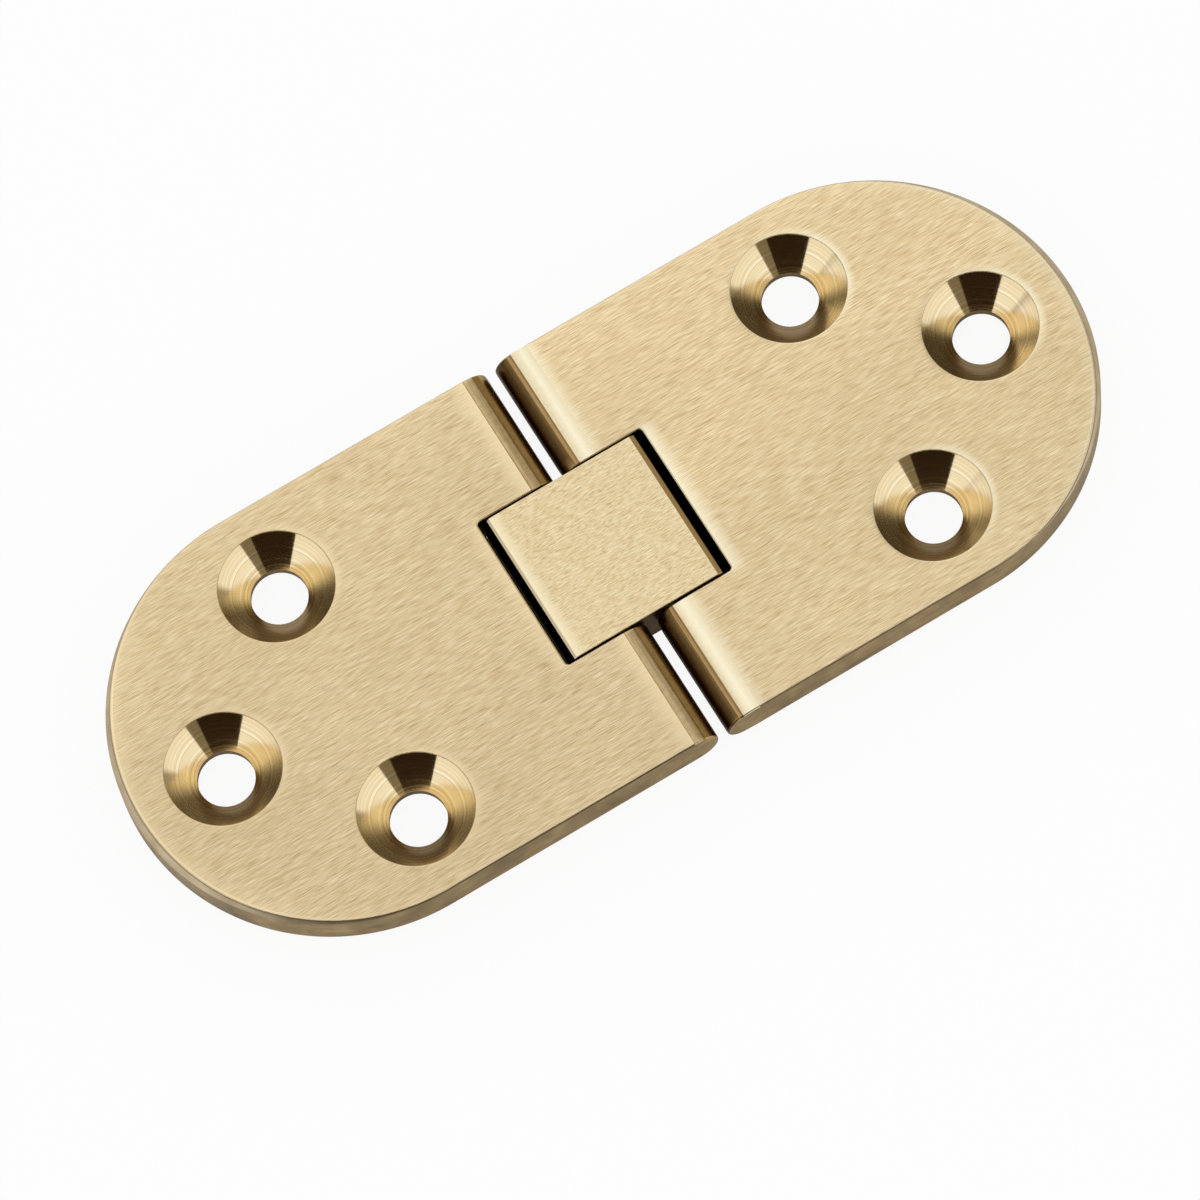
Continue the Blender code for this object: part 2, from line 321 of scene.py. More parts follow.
def edge_profile(radius, width=0.0, drop=0.0, power=2.0):
    """(distance in from the edge, drop below the face), from the flat out to the vertical wall."""
    if width == 0.0:
        start = 0.0
    else:
        start = math.atan(power * drop / (width - radius))
    tight_from = radius * (1 - math.sin(start))
    profile = [(max(width, radius) + GUARD, 0.0)]
    if width > 0.0:
        for i in range(SANDED_STEPS):
            share = i / SANDED_STEPS
            profile.append((width + (tight_from - width) * share, drop * share**power))
    for i in range(ROUND_STEPS + 1):
        angle = start + (math.pi / 2 - start) * i / ROUND_STEPS
        down = drop + radius * (math.cos(start) - math.cos(angle))
        profile.append((radius * (1 - math.sin(angle)), down))
    return profile


def finished_object(name, shape, materials):
    """Welds the patches into one closed surface and makes it an object."""
    bmesh.ops.remove_doubles(shape, verts=shape.verts, dist=WELD)
    bmesh.ops.dissolve_degenerate(shape, dist=WELD, edges=shape.edges)
    bmesh.ops.recalc_face_normals(shape, faces=shape.faces)
    mesh = bpy.data.meshes.new(name)
    shape.to_mesh(mesh)
    shape.free()
    for material in materials:
        mesh.materials.append(material)
    mesh.shade_smooth()
    mesh.set_sharp_from_angle(angle=SHARP_ANGLE)
    obj = bpy.data.objects.new(name, mesh)
    bpy.context.scene.collection.objects.link(obj)
    return obj


# Leaves, made on the +X side with the pin at z 0

# The order of a leaf's materials
FACE, NOSE, SIDE, SLOT, TURNED, HOLE, UNDERSIDE, BEVEL = range(8)


def nose_section(worn):
    """The nose from the face round to the underside: (x, z, normal x, normal z).

    A land leads from the face to the round, with a fine line cut where they meet. On a fresh leaf
    another line parts it from the face, and on a worn one the face rolls down onto it.
    """
    reach = PIN_X - LAND_START_X + LAND_WIDTH
    slope = (NOSE_RADIUS - math.sqrt(NOSE_RADIUS**2 - reach**2)) / LAND_WIDTH
    slope_from = slope - LAND_BULGE
    roll_fall = slope_from * WORN_ROLL / 2 if worn else 0.0
    start = Vector((LAND_START_X, HALF_THICKNESS - roll_fall))

    def on_land(along):
        fall = slope_from * along + LAND_BULGE * along**2 / LAND_WIDTH
        return start - Vector((along, fall))

    if worn:
        upper = []
        for i in range(ROLL_STEPS + 1):
            share = i / ROLL_STEPS
            x = LAND_START_X + WORN_ROLL * (1 - share)
            upper.append(Vector((x, HALF_THICKNESS - roll_fall * share**2)))
    else:
        upper = [start + Vector((GROOVE + GUARD, 0)), start + Vector((GROOVE, 0))]
        upper += [start - Vector((0, GROOVE)), on_land(GROOVE), on_land(GROOVE + GUARD)]
    upper += [on_land(LAND_WIDTH * i / LAND_STEPS) for i in range(1, LAND_STEPS)]

    pin = Vector((PIN_X, 0))
    outward = on_land(LAND_WIDTH) - pin
    radius = outward.length
    round_start = math.atan2(-outward.x, outward.y) + GROOVE / radius
    upper += [on_land(LAND_WIDTH - GROOVE - GUARD), on_land(LAND_WIDTH - GROOVE)]
    upper.append(on_land(LAND_WIDTH) - outward.normalized() * GROOVE)
    for i in range(NOSE_STEPS + 1):
        angle = round_start + (math.pi / 2 - round_start) * i / NOSE_STEPS
        upper.append(pin + Vector((-math.sin(angle), math.cos(angle))) * radius)

    points = upper + [Vector((point.x, -point.y)) for point in reversed(upper[:-1])]
    section = [(points[0].x, points[0].y, 0, 1)]
    for before, point, after in zip(points, points[1:], points[2:]):
        along = (after - before).normalized()
        section.append((point.x, point.y, along.y, -along.x))
    return section + [(points[-1].x, points[-1].y, 0, -1)]


def along_outside(flat_from, inset, z, bevel=0.0, fall=0.0):
    """A leaf's outline, from behind its nose round the end and back. bevel and fall grow to the tip."""
    side = HALF_WIDTH - inset
    points = [Vector((flat_from, side, z))]
    for i in range(END_STEPS + 1):
        angle = math.pi / 2 - math.pi * i / END_STEPS
        share = math.cos(angle) ** 2
        radius = side - bevel * share
        x, y = END_CENTRE_X + radius * math.cos(angle), radius * math.sin(angle)
        points.append(Vector((x, y, z - fall * share)))
    return points + [Vector((flat_from, -side, z))]


def slot_corner_start(z):
    """How far along the slot its corners start, at one level of its leaning end."""
    end = SLOT_END_X - SLOT_END_LEAN * (HALF_THICKNESS - z) / (2 * HALF_THICKNESS)
    return end - SLOT_CORNER


def along_slot(flat_from, inset, z):
    """The slot's outline, in along one side, round its end and out along the other."""
    radius, side = SLOT_CORNER + inset, HALF_SLOT + inset
    corner_x, corner_y = slot_corner_start(z), HALF_SLOT - SLOT_CORNER
    points = [Vector((flat_from, -side, z))]
    for first, y in ((-math.pi / 2, -corner_y), (0, corner_y)):
        for i in range(CORNER_STEPS + 1):
            angle = first + math.pi / 2 * i / CORNER_STEPS
            out = Vector((math.cos(angle), math.sin(angle), 0)) * radius
            points.append(Vector((corner_x, y, z)) + out)
    return points + [Vector((flat_from, side, z))]


def around(screw, radius, z):
    return circle((*screw, z), radius, SCREW_STEPS, "XY")


def bore_ring(y, radius=BORE_RADIUS):
    return circle((PIN_X, y, 0), radius, BORE_STEPS, "XZ")


def add_face(shape, side, flat_from, outer, slot, hole_edge, hole_radius, finish, bevel):
    """The face (side 1) or the underside (side -1), with its dressed edges."""
    level = HALF_THICKNESS * side
    outside = [along_outside(flat_from, inset, level - drop * side, bevel) for inset, drop in outer]
    strip(shape, outside, finish)
    inside = [along_slot(flat_from, inset, level - drop * side) for inset, drop in slot]
    strip(shape, inside, finish)
    flat = [outside[0] + inside[0]]
    for screw in SCREWS:
        rows = [around(screw, hole_radius + inset, level - drop * side) for inset, drop in hole_edge]
        strip(shape, rows, finish, closed=True)
        flat.append(rows[0])
    fill(shape, flat, finish)


def add_screw_holes(shape, rim, foot):
    """Countersinks, whose sides are at 45 degrees, and holes with their deburred feet."""
    rim_z = HALF_THICKNESS - rim[-1][1]
    foot_z = -HALF_THICKNESS + foot[-1][1]
    for screw in SCREWS:
        rows = []
        for i in range(CONE_ROWS + 1):
            inward = (RIM_RADIUS - HOLE_RADIUS) * i / CONE_ROWS
            rows.append(around(screw, RIM_RADIUS - inward, rim_z - inward))
        strip(shape, rows, TURNED, closed=True)
        rows = rows[-1:] + [around(screw, HOLE_RADIUS, foot_z + HOLE_DEBURR)]
        rows.append(around(screw, HOLE_RADIUS + HOLE_DEBURR, foot_z))
        strip(shape, rows, HOLE, closed=True)


def add_noses(shape, section, outer, slot):
    """The nose over each of the two fingers."""
    for finger in (1, -1):
        columns = [(HALF_WIDTH - inset, drop) for inset, drop in reversed(outer)]
        columns += [(HALF_SLOT + inset, drop) for inset, drop in slot]
        rows = []
        for y, drop in columns:
            rows.append([Vector((x - nx * drop, y * finger, z - nz * drop)) for x, z, nx, nz in section])
        strip(shape, rows, NOSE)


def add_finger_side(shape, section, y, drop, back, bores, finish):
    """A flat side of a finger, from the nose to back, which is a function of the level."""
    loops = []
    for inset in (drop, drop + GUARD):
        top = HALF_THICKNESS - inset
        loop = [Vector((back(top), y, top))]
        loop += [Vector((x - nx * inset, y, z - nz * inset)) for x, z, nx, nz in section]
        loops.append(loop + [Vector((back(-top), y, -top))])
    strip(shape, loops, finish)
    fill(shape, [loops[1], *bores], finish)


def add_outer_walls(shape, section, outer, bore_mouth):
    """The wall round the end, with its bevel, and the two straight sides."""
    flat_from = section[0][0]
    drop = outer[-1][1]
    top = HALF_THICKNESS - drop
    width, depth = END_BEVEL["width"], END_BEVEL["depth"]
    bevel_foot = along_outside(flat_from, 0, top, fall=depth)[1:-1]
    strip(shape, [along_outside(flat_from, 0, top, bevel=width)[1:-1], bevel_foot], BEVEL)
    below_bevel = along_outside(flat_from, 0, top - GUARD, fall=depth)[1:-1]
    underneath = [along_outside(flat_from, 0, z)[1:-1] for z in (GUARD - top, -top)]
    strip(shape, [bevel_foot, below_bevel, *underneath], SIDE)
    for side in (1, -1):
        y = HALF_WIDTH * side
        bores = [bore_ring(y, BORE_RADIUS + BORE_CHAMFER)] if side == bore_mouth else []
        add_finger_side(shape, section, y, drop, lambda z: END_CENTRE_X, bores, SIDE)


def add_slot_walls(shape, section, slot):
    """The slot's end and its two sides, each with the bore in it."""
    drop = slot[-1][1]
    top = HALF_THICKNESS - drop
    levels = (top, top - GUARD, GUARD - top, -top)
    strip(shape, [along_slot(section[0][0], 0, z)[1:-1] for z in levels], SLOT)
    for side in (1, -1):
        y = HALF_SLOT * side
        add_finger_side(shape, section, y, drop, slot_corner_start, [bore_ring(y)], SLOT)


def add_pin_bore(shape, bore_mouth):
    """The pin's bore, through one finger and blind in the other."""
    mouth = bore_mouth * HALF_WIDTH
    through = [
        bore_ring(mouth, BORE_RADIUS + BORE_CHAMFER),
        bore_ring(mouth - bore_mouth * BORE_CHAMFER),
        bore_ring(bore_mouth * HALF_SLOT),
    ]
    strip(shape, through, SLOT, closed=True)
    blind = [bore_ring(-bore_mouth * HALF_SLOT), bore_ring(-bore_mouth * (HALF_WIDTH - BORE_END_WALL))]
    strip(shape, blind, SLOT, closed=True)
    fill(shape, blind[1:], SLOT)


def make_leaf(name, turn, bore_mouth, worn, materials):
    """A leaf, with turn 1 for the right one and -1 for the left one, which is turned half round.

    bore_mouth is the side that its pin goes in from, before that turn.
    """
    shape = bmesh.new()
    section = nose_section(worn)
    flat_from = section[0][0]
    outer = edge_profile(EDGE_ROUND, **OUTER_EDGE)
    slot = edge_profile(EDGE_ROUND, **(WORN_SLOT_EDGE if worn else CRISP_SLOT_EDGE))
    rim = edge_profile(EDGE_ROUND / 2, **RIM_EDGE)
    foot = edge_profile(EDGE_ROUND / 2)
    foot_radius = HOLE_RADIUS + HOLE_DEBURR
    add_face(shape, 1, flat_from, outer, slot, rim, RIM_RADIUS, FACE, END_BEVEL["width"])
    add_face(shape, -1, flat_from, outer, slot, foot, foot_radius, UNDERSIDE, 0.0)
    add_screw_holes(shape, rim, foot)
    add_noses(shape, section, outer, slot)
    add_outer_walls(shape, section, outer, bore_mouth)
    add_slot_walls(shape, section, slot)
    add_pin_bore(shape, bore_mouth)
    for vert in shape.verts:
        x, y, z = vert.co
        vert.co = (x * turn, y * turn, z + PIN_Z)
    return finished_object(name, shape, materials)


# Link and pins

# The order of the link's materials
LINK_FACE, LINK_END, LINK_WALL = range(3)


def rounded(corners, radius, steps):
    """A closed outline with a small arc, between guard points, in place of each real corner."""
    points = []
    count = len(corners)
    for i, corner in enumerate(corners):
        before = (corners[i - 1] - corner).normalized()
        after = (corners[(i + 1) % count] - corner).normalized()
        turn = math.pi - before.angle(after)
        if turn < REAL_CORNER:
            points.append(corner)
            continue
        setback = radius * math.tan(turn / 2)
        centre = corner + (before + after).normalized() * (radius / math.cos(turn / 2))
        start = corner + before * setback - centre
        end = corner + after * setback - centre
        points.append(corner + before * (setback + GUARD))
        for k in range(steps + 1):
            points.append(centre + start.lerp(end, k / steps).normalized() * radius)
        points.append(corner + after * (setback + GUARD))
    return points


def link_outline():
    """The link's side view, anticlockwise from the right-hand foot. Each end is round about its own pin.

    The right end keeps a crisp chamfer, and the face is worn down towards the left one.
    """
    foot = -PIN_Z
    end = [
        Vector((HALF_LINK_LENGTH - LINK_FOOT_BREAK, foot)),
        Vector((HALF_LINK_LENGTH, foot + LINK_FOOT_BREAK)),
    ]
    for i in range(LINK_END_STEPS + 1):
        angle = LINK_CHAMFER_ANGLE * i / LINK_END_STEPS
        out = Vector((math.cos(angle), math.sin(angle))) * LINK_END_RADIUS
        end.append(Vector((PIN_X, 0)) + out)
    chamfer_x = end[-1].x
    face = [Vector((LINK_FACE_END_X, HALF_THICKNESS))]
    worn_x = LINK_CHAMFER_DEPTH - chamfer_x
    for i in range(ROLL_STEPS + 1):
        share = i / ROLL_STEPS
        x = worn_x + LINK_WORN_END["width"] * (1 - share)
        face.append(Vector((x, HALF_THICKNESS - LINK_WORN_END["drop"] * share**2)))
    return end + face + [Vector((-point.x, point.y)) for point in reversed(end)]


def make_link(name, materials):
    """The link: its outline run across it, its two bores, and its ends told apart from the rest."""
    shape = bmesh.new()
    outline = rounded(link_outline(), LINK_EDGE_ROUND, ROUND_STEPS)
    count = len(outline)
    outward = []
    for i in range(count):
        step = (outline[(i + 1) % count] - outline[i - 1]).normalized()
        outward.append(Vector((step.y, -step.x)))
    edge = edge_profile(LINK_EDGE_ROUND)
    columns = [(-HALF_LINK_WIDTH + inset, drop) for inset, drop in reversed(edge)]
    columns += [(HALF_LINK_WIDTH - inset, drop) for inset, drop in edge]
    rows = []
    for y, drop in columns:
        rows.append([Vector((p.x - n.x * drop, y, p.y - n.y * drop)) for p, n in zip(outline, outward)])
    strip(shape, rows, LINK_FACE, closed=True)
    sides = (-HALF_LINK_WIDTH, HALF_LINK_WIDTH)
    bores = []
    for x in (-PIN_X, PIN_X):
        bores.append([circle((x, y, 0), LINK_BORE_RADIUS, BORE_STEPS, "XZ") for y in sides])
    for bore in bores:
        strip(shape, bore, LINK_END, closed=True)
    for end, side in ((0, rows[0]), (1, rows[-1])):
        fill(shape, [side, bores[0][end], bores[1][end]], LINK_WALL)
    chamfer_foot = HALF_THICKNESS - LINK_CHAMFER_DEPTH
    for face in shape.faces:
        middle = face.calc_center_median()
        if middle.z < chamfer_foot and face.material_index == LINK_FACE:
            at_end = abs(middle.x) > PIN_X and middle.z > LINK_FOOT_BREAK - PIN_Z
            face.material_index = LINK_END if at_end else LINK_WALL
    for vert in shape.verts:
        vert.co.z += PIN_Z
    return finished_object(name, shape, materials)


def make_pin(name, x, materials):
    """A pin across the hinge, chamfered at its near end and dressed flush at its far one."""
    shape = bmesh.new()
    profile = [
        (PIN_RADIUS - PIN_CHAMFER, PIN_NEAR_END),
        (PIN_RADIUS, PIN_NEAR_END + PIN_CHAMFER),
        (PIN_RADIUS, HALF_WIDTH - PIN_CHAMFER),
        (PIN_RADIUS - PIN_SHOULDER["in"], HALF_WIDTH - PIN_SHOULDER["down"]),
        (PIN_RADIUS - PIN_CHAMFER, HALF_WIDTH),
    ]
    rows = [circle((x, y, PIN_Z), radius, BORE_STEPS, "XZ") for radius, y in profile]
    strip(shape, rows, 0, closed=True)
    fill(shape, rows[:1], 0)
    fill(shape, rows[-1:], 0)
    return finished_object(name, shape, materials)


# Shader nodes


def linear(red, green, blue):
    """A colour as a screen shows it, 0 to 255, as the shader takes it."""
    shares = [c / 255 for c in (red, green, blue)]
    return (*[s / 12.92 if s <= 0.04045 else ((s + 0.055) / 1.055) ** 2.4 for s in shares], 1)


def node(tree, kind, inputs=None, **settings):
    """A shader node. inputs gives a value or another node's output for each named or numbered input."""
    made = tree.nodes.new("ShaderNode" + kind)
    for setting, value in settings.items():
        setattr(made, setting, value)
    for socket, value in (inputs or {}).items():
        if isinstance(value, bpy.types.NodeSocket):
            tree.links.new(value, made.inputs[socket])
        else:
            made.inputs[socket].default_value = value
    return made


def part(tree, vector, axis):
    return node(tree, "SeparateXYZ", {"Vector": vector}).outputs[axis]


def flat_vector(tree, x, y):
    return node(tree, "CombineXYZ", {"X": x, "Y": y}).outputs[0]


def length(tree, vector):
    return node(tree, "VectorMath", {0: vector}, operation="LENGTH").outputs["Value"]


def maths(tree, operation, a, b=0.0):
    return node(tree, "Math", {0: a, 1: b}, operation=operation).outputs[0]


def spread(tree, value, low, high, to_low=0.0, to_high=1.0):
    """Goes from to_low to to_high while the value goes from low to high, and no further."""
    inputs = {"Value": value, "From Min": low, "From Max": high, "To Min": to_low, "To Max": to_high}
    return node(tree, "MapRange", inputs).outputs[0]


def weighed(tree, first, second, share):
    """A share of the first marks, and the rest of the second."""
    part_of_first = maths(tree, "MULTIPLY", first, share)
    return maths(tree, "ADD", part_of_first, maths(tree, "MULTIPLY", second, 1 - share))


def ramp(tree, value, stops):
    """A colour for each value, between stops of a position and a screen colour."""
    made = node(tree, "ValToRGB", {"Fac": value})
    elements = made.color_ramp.elements
    while len(elements) < len(stops):
        elements.new(0.5)
    for element, (position, colour) in zip(elements, stops):
        element.position = position
        element.color = linear(*colour)
    return made.outputs["Color"]


def tones(tree, marks, colours, half_range):
    """Colours the marks, from the first colour where they are faint to the last where they are strong.

    half_range is how far they go either way of 0.5 between those two.
    """
    last = len(colours) - 1
    stops = [(i / last, colour) for i, colour in enumerate(colours)]
    return ramp(tree, spread(tree, marks, 0.5 - half_range, 0.5 + half_range), stops)


def blend(tree, share, first, second):
    """Two colours mixed. share is a socket, and each colour is a socket or a screen colour."""
    made = node(tree, "Mix", {0: share}, data_type="RGBA")
    for slot, colour in ((6, first), (7, second)):
        if isinstance(colour, bpy.types.NodeSocket):
            tree.links.new(colour, made.inputs[slot])
        else:
            made.inputs[slot].default_value = linear(*colour)
    return made.outputs[2]


def laid_over(tree, under, marks, low, high, share, colour):
    """A colour laid over another one where the marks rise from low to high."""
    return blend(tree, spread(tree, marks, low, high, 0.0, share), under, colour)


def streaks(tree, place, per_metre, turn=0.0, detail=2.0):
    """Noise drawn out along one direction, with so many marks per metre along each axis."""
    spin = (0, 0, math.radians(turn))
    mapped = node(tree, "Mapping", {"Vector": place, "Scale": per_metre, "Rotation": spin})
    inputs = {"Vector": mapped.outputs[0], "Scale": 1.0, "Detail": detail, "Roughness": 0.6}
    return node(tree, "TexNoise", inputs).outputs["Fac"]


def new_metal(name):
    material = bpy.data.materials.new(name)
    material.use_nodes = True
    tree = material.node_tree
    shader = tree.nodes["Principled BSDF"]
    shader.inputs["Metallic"].default_value = 1
    place = node(tree, "TexCoord").outputs["Object"]
    return material, tree, shader, place


def dress(tree, shader, colour, roughness_marks, relief_marks, roughness, depth):
    """Gives a metal its colour, its roughness over some marks and the relief of others."""
    rough = spread(tree, roughness_marks, NOISE_LOW, NOISE_HIGH, *roughness)
    relief = node(tree, "Bump", {"Height": relief_marks, "Distance": depth, "Strength": 1.0})
    tree.links.new(colour, shader.inputs["Base Color"])
    tree.links.new(rough, shader.inputs["Roughness"])
    tree.links.new(relief.outputs["Normal"], shader.inputs["Normal"])


def spread_across(tree, shader, direction, amount):
    """Spreads the metal's reflections along one direction of the object, across its cutting marks."""
    inputs = {"Vector": direction}
    settings = {"vector_type": "VECTOR", "convert_from": "OBJECT", "convert_to": "WORLD"}
    turned = node(tree, "VectorTransform", inputs, **settings).outputs[0]
    tree.links.new(turned, shader.inputs["Tangent"])
    shader.inputs["Anisotropic"].default_value = amount


# Places on a leaf, and the painted highlights and shade on it


def from_middle(tree, place):
    """How far a place is from the middle of the hinge, along it and across it."""
    return [maths(tree, "ABSOLUTE", part(tree, place, axis)) for axis in ("X", "Y")]


def nearest_screw(tree, place, turn):
    """Distance from the axis of the nearest screw, and the way out from it along the face."""
    flat = flat_vector(tree, part(tree, place, "X"), part(tree, place, "Y"))
    nearest, outward = None, None
    for x, y in SCREWS:
        inputs = {0: flat, 1: (x * turn, y * turn, 0)}
        offset = node(tree, "VectorMath", inputs, operation="SUBTRACT").outputs[0]
        away = length(tree, offset)
        if nearest is None:
            nearest, outward = away, offset
            continue
        closer = maths(tree, "LESS_THAN", away, nearest)
        nearest = maths(tree, "MINIMUM", nearest, away)
        outward = node(tree, "Mix", {0: closer, 4: outward, 5: offset}, data_type="VECTOR").outputs[1]
    return nearest, outward


def from_outside(tree, along, across):
    """How far in from the border of the leaf's face, with its bevelled round end, a place lies."""
    past = maths(tree, "MAXIMUM", maths(tree, "SUBTRACT", along, END_CENTRE_X))
    radius = length(tree, flat_vector(tree, past, across))
    share = maths(tree, "POWER", maths(tree, "DIVIDE", past, radius), 2.0)
    bevel = maths(tree, "MULTIPLY", share, END_BEVEL["width"])
    return maths(tree, "SUBTRACT", maths(tree, "SUBTRACT", HALF_WIDTH, bevel), radius)


def highlight_by_nose(tree, along, peak, share):
    """How strong the painted highlight beside the nose is: most at peak, and less on both sides of it."""
    inner = spread(tree, along, LAND_START_X - LAND_WIDTH, peak, 0.0, share)
    outer = spread(tree, along, peak + NOSE_HIGHLIGHT_WIDTH, peak, 0.0, share)
    return maths(tree, "MINIMUM", inner, outer)


def highlight_by_slot(tree, along, across, share):
    """How strong the painted highlight beside the slot's end is."""
    from_end = maths(tree, "SUBTRACT", along, SLOT_END_X)
    past_corner = maths(tree, "MAXIMUM", maths(tree, "SUBTRACT", across, HALF_SLOT - SLOT_CORNER))
    corner = flat_vector(tree, from_end, maths(tree, "MULTIPLY", past_corner, SLOT_CORNER_FADE))
    return spread(tree, length(tree, corner), SLOT_HIGHLIGHT_WIDTH, 0.0, 0.0, share)


def highlight_by_rims(tree, place, turn):
    """The painted highlight beside the countersinks: a glow on one side, and a line all round."""
    nearest, outward = nearest_screw(tree, place, turn)
    facing = node(tree, "VectorMath", {0: outward, 1: RIM_HIGHLIGHT_SIDE}, operation="DOT_PRODUCT")
    one_side = spread(tree, facing.outputs["Value"], *RIM_HIGHLIGHT_FACING)
    glow = spread(tree, nearest, RIM_RADIUS + RIM_HIGHLIGHT_WIDTH, RIM_RADIUS, 0.0, RIM_HIGHLIGHT)
    line_from, line_full = RIM_RADIUS + RIM_LINE_WIDTH, RIM_RADIUS + RIM_LINE_WIDTH / 2
    line = spread(tree, nearest, line_from, line_full, 0.0, RIM_LINE)
    return maths(tree, "MAXIMUM", maths(tree, "MULTIPLY", glow, one_side), line)


def highlight_by_border(tree, along, across, share):
    """The painted highlight beside the outer edge: a soft band and a line, mostly round the end."""
    inward = from_outside(tree, along, across)
    band = spread(tree, inward, OUTER_HIGHLIGHT_WIDTH, 0.0, 0.0, share / 2)
    line = spread(tree, inward, OUTER_LINE_WIDTH, OUTER_LINE_WIDTH * OUTER_LINE_CORE, 0.0, share)
    at_end = spread(tree, along, SIDE_HIGHLIGHT_TO_X, END_HIGHLIGHT_FROM_X, SIDE_HIGHLIGHT, 1.0)
    return maths(tree, "MULTIPLY", maths(tree, "MAXIMUM", band, line), at_end)


def painted_face_highlight(tree, place, turn, tarnish_and_light):
    """How strong the painted highlight on a leaf's face is, beside all its edges."""
    along, across = from_middle(tree, place)
    most = highlight_by_nose(tree, along, tarnish_and_light["nose_x"], tarnish_and_light["nose"])
    most = maths(tree, "MAXIMUM", most, highlight_by_slot(tree, along, across, tarnish_and_light["slot"]))
    most = maths(tree, "MAXIMUM", most, highlight_by_rims(tree, place, turn))
    return maths(tree, "MAXIMUM", most, highlight_by_border(tree, along, across, tarnish_and_light["border"]))


def outer_edge_shade(tree, place):
    """How much painted shade lies on the round of a leaf's outer edge."""
    along, across = from_middle(tree, place)
    beside = spread(tree, from_outside(tree, along, across), EDGE_SHADE_FROM, EDGE_SHADE_FULL)
    top = LEAF_TOP - EDGE_SHADE_DEPTH
    below = spread(tree, part(tree, place, "Z"), top, top - EDGE_SHADE_DEPTH, 0.0, EDGE_SHADE)
    return maths(tree, "MULTIPLY", beside, below)


# Metals


def brushed_brass(name, turn, tarnish_and_light):
    """A leaf's satin face: short fine strokes along the hinge, a few dark hairlines, painted highlights by
    its edges and painted shade.
    """
    material, tree, shader, place = new_metal(name)
    fine = streaks(tree, place, (750, 25000, 750), turn=1, detail=1)
    broad = streaks(tree, place, (420, 9000, 420), turn=-1, detail=1)
    hairs = streaks(tree, place, (600, 24000, 600), turn=2, detail=1)
    cloud = streaks(tree, place, (70, 130, 70), detail=1)
    strokes = weighed(tree, fine, broad, share=0.9)
    satin = tones(tree, strokes, FACE_TONES, half_range=0.14)
    warmed = laid_over(tree, satin, cloud, **FACE_CLOUD)
    lined = laid_over(tree, warmed, hairs, **FACE_HAIRS)
    # Painted highlights beside the nose, the slot, the rims and the outer edge
    highlighted = blend(tree, painted_face_highlight(tree, place, turn, tarnish_and_light), lined, tarnish_and_light["highlight_colour"])
    # Painted shade on the round of the outer edge
    edged = blend(tree, outer_edge_shade(tree, place), highlighted, OUTER_EDGE_DARK)
    # Painted light: each leaf's painted lightness, darker towards the near side and lighter towards the
    # far side
    low, high = tarnish_and_light["tone"] - TONE_ACROSS, tarnish_and_light["tone"] + TONE_ACROSS
    shade = spread(tree, part(tree, place, "Y"), -HALF_WIDTH, HALF_WIDTH, low, high)
    colour = node(tree, "VectorMath", {0: edged, "Scale": shade}, operation="SCALE").outputs[0]
    dress(tree, shader, colour, cloud, strokes, **BRUSHED)
    spread_across(tree, shader, ACROSS_STROKES, amount=0.85)
    return material


def nose_brass(name, tarnish_and_light):
    """Land and nose: fine machining lines along the pin, a painted highlight on top, and tarnish and
    painted shade towards the gap.
    """
    material, tree, shader, place = new_metal(name)
    lines = streaks(tree, place, (9000, 160, 9000), detail=3)
    wide = streaks(tree, place, (2400, 60, 2400), detail=1)
    mottle = streaks(tree, place, (2600, 2600, 2600), detail=3)
    both = weighed(tree, lines, wide, share=0.5)
    plain = tones(tree, weighed(tree, both, mottle, share=0.7), NOSE_TONES, half_range=0.18)
    away = maths(tree, "ABSOLUTE", part(tree, place, "X"))
    on_top = spread(tree, part(tree, place, "Z"), PIN_Z, PIN_Z + HALF_THICKNESS / 2)
    # Painted highlight on top of the nose, beside the land
    highlighted = maths(tree, "MULTIPLY", highlight_by_nose(tree, away, tarnish_and_light["nose_x"], tarnish_and_light["land"]), on_top)
    bright = blend(tree, highlighted, plain, tarnish_and_light["highlight_colour"])
    # Tarnish and painted shade towards the gap, with painted dark lines and light bands along the nose
    dulled = ramp(tree, spread(tree, away, PIN_X, NOSE_END_X), tarnish_and_light["tarnish_and_shade"])
    mixed = node(tree, "Mix", {0: 1.0, 6: bright, 7: dulled}, data_type="RGBA", blend_type="MULTIPLY")
    dress(tree, shader, mixed.outputs[2], lines, both, **MACHINED)
    return material


def ground_brass(name, colours, per_metre=UPRIGHT_MARKS, blotched=0.5):
    """A sawn or ground surface: duller, with marks along one direction, and blotches."""
    material, tree, shader, place = new_metal(name)
    marks = streaks(tree, place, per_metre, detail=3)
    blotch = streaks(tree, place, (420, 420, 300), detail=2)
    both = weighed(tree, marks, blotch, share=1 - blotched)
    dress(tree, shader, tones(tree, both, colours, half_range=0.18), marks, both, **GROUND)
    return material


def turned_brass(name, turn):
    """Countersinks as the cutter left them: bright, with rings round each screw's axis."""
    material, tree, shader, place = new_metal(name)
    nearest, outward = nearest_screw(tree, place, turn)
    rings_at = flat_vector(tree, nearest, part(tree, place, "Z"))
    fine = streaks(tree, rings_at, (14000, 9000, 1), detail=3)
    wide = streaks(tree, rings_at, (3500, 2000, 1), detail=1)
    rings = weighed(tree, fine, wide, share=0.55)
    colour = tones(tree, rings, TURNED_TONES, half_range=0.16)
    dress(tree, shader, colour, fine, rings, **TURNED_BRIGHT)
    spread_across(tree, shader, outward, amount=0.7)
    return material


